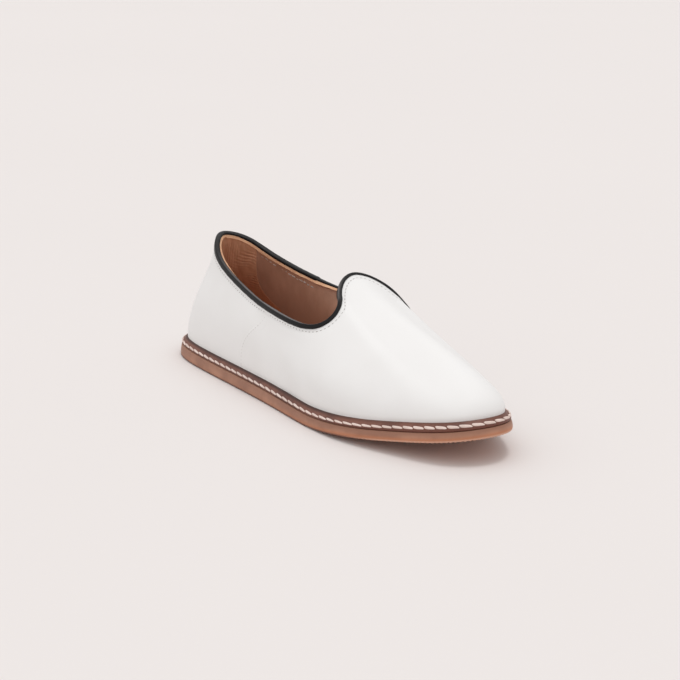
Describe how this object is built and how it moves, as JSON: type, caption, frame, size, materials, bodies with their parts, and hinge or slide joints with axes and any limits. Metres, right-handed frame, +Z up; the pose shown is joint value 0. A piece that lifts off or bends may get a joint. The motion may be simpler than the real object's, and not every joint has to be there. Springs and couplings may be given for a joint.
{
  "type": "flat slip-on shoe",
  "caption": "Women's flat slip-on shoe for the right foot: smooth leather upper with a raised rounded tongue, bound collar, side seams, stitched welt and a flat rubber outsole.",
  "frame": {"origin": "on the floor, under the middle of the outsole's box", "axes": "+X to the toe, +Y to the wearer's left, which is the medial side of this right shoe, +Z up"},
  "size_m": [0.262, 0.087, 0.0726],
  "materials": {
    "outsole_rubber": "tan crepe-like rubber, satin side, fine ribbed tread",
    "welt_leather": "dark brown leather, low sheen, with a thick cream lockstitch",
    "upper_leather": "smooth white leather with a fine grain and a soft sheen",
    "binding_leather": "black leather strip, folded over the collar, semi-gloss",
    "lining_leather": "brown unpainted lining leather, matt"
  },
  "bodies": {
    "root": {"outsole": "outsole_rubber", "welt": "welt_leather", "upper": "upper_leather", "binding": "binding_leather", "insole": "lining_leather"}
  },
  "joints": []
}
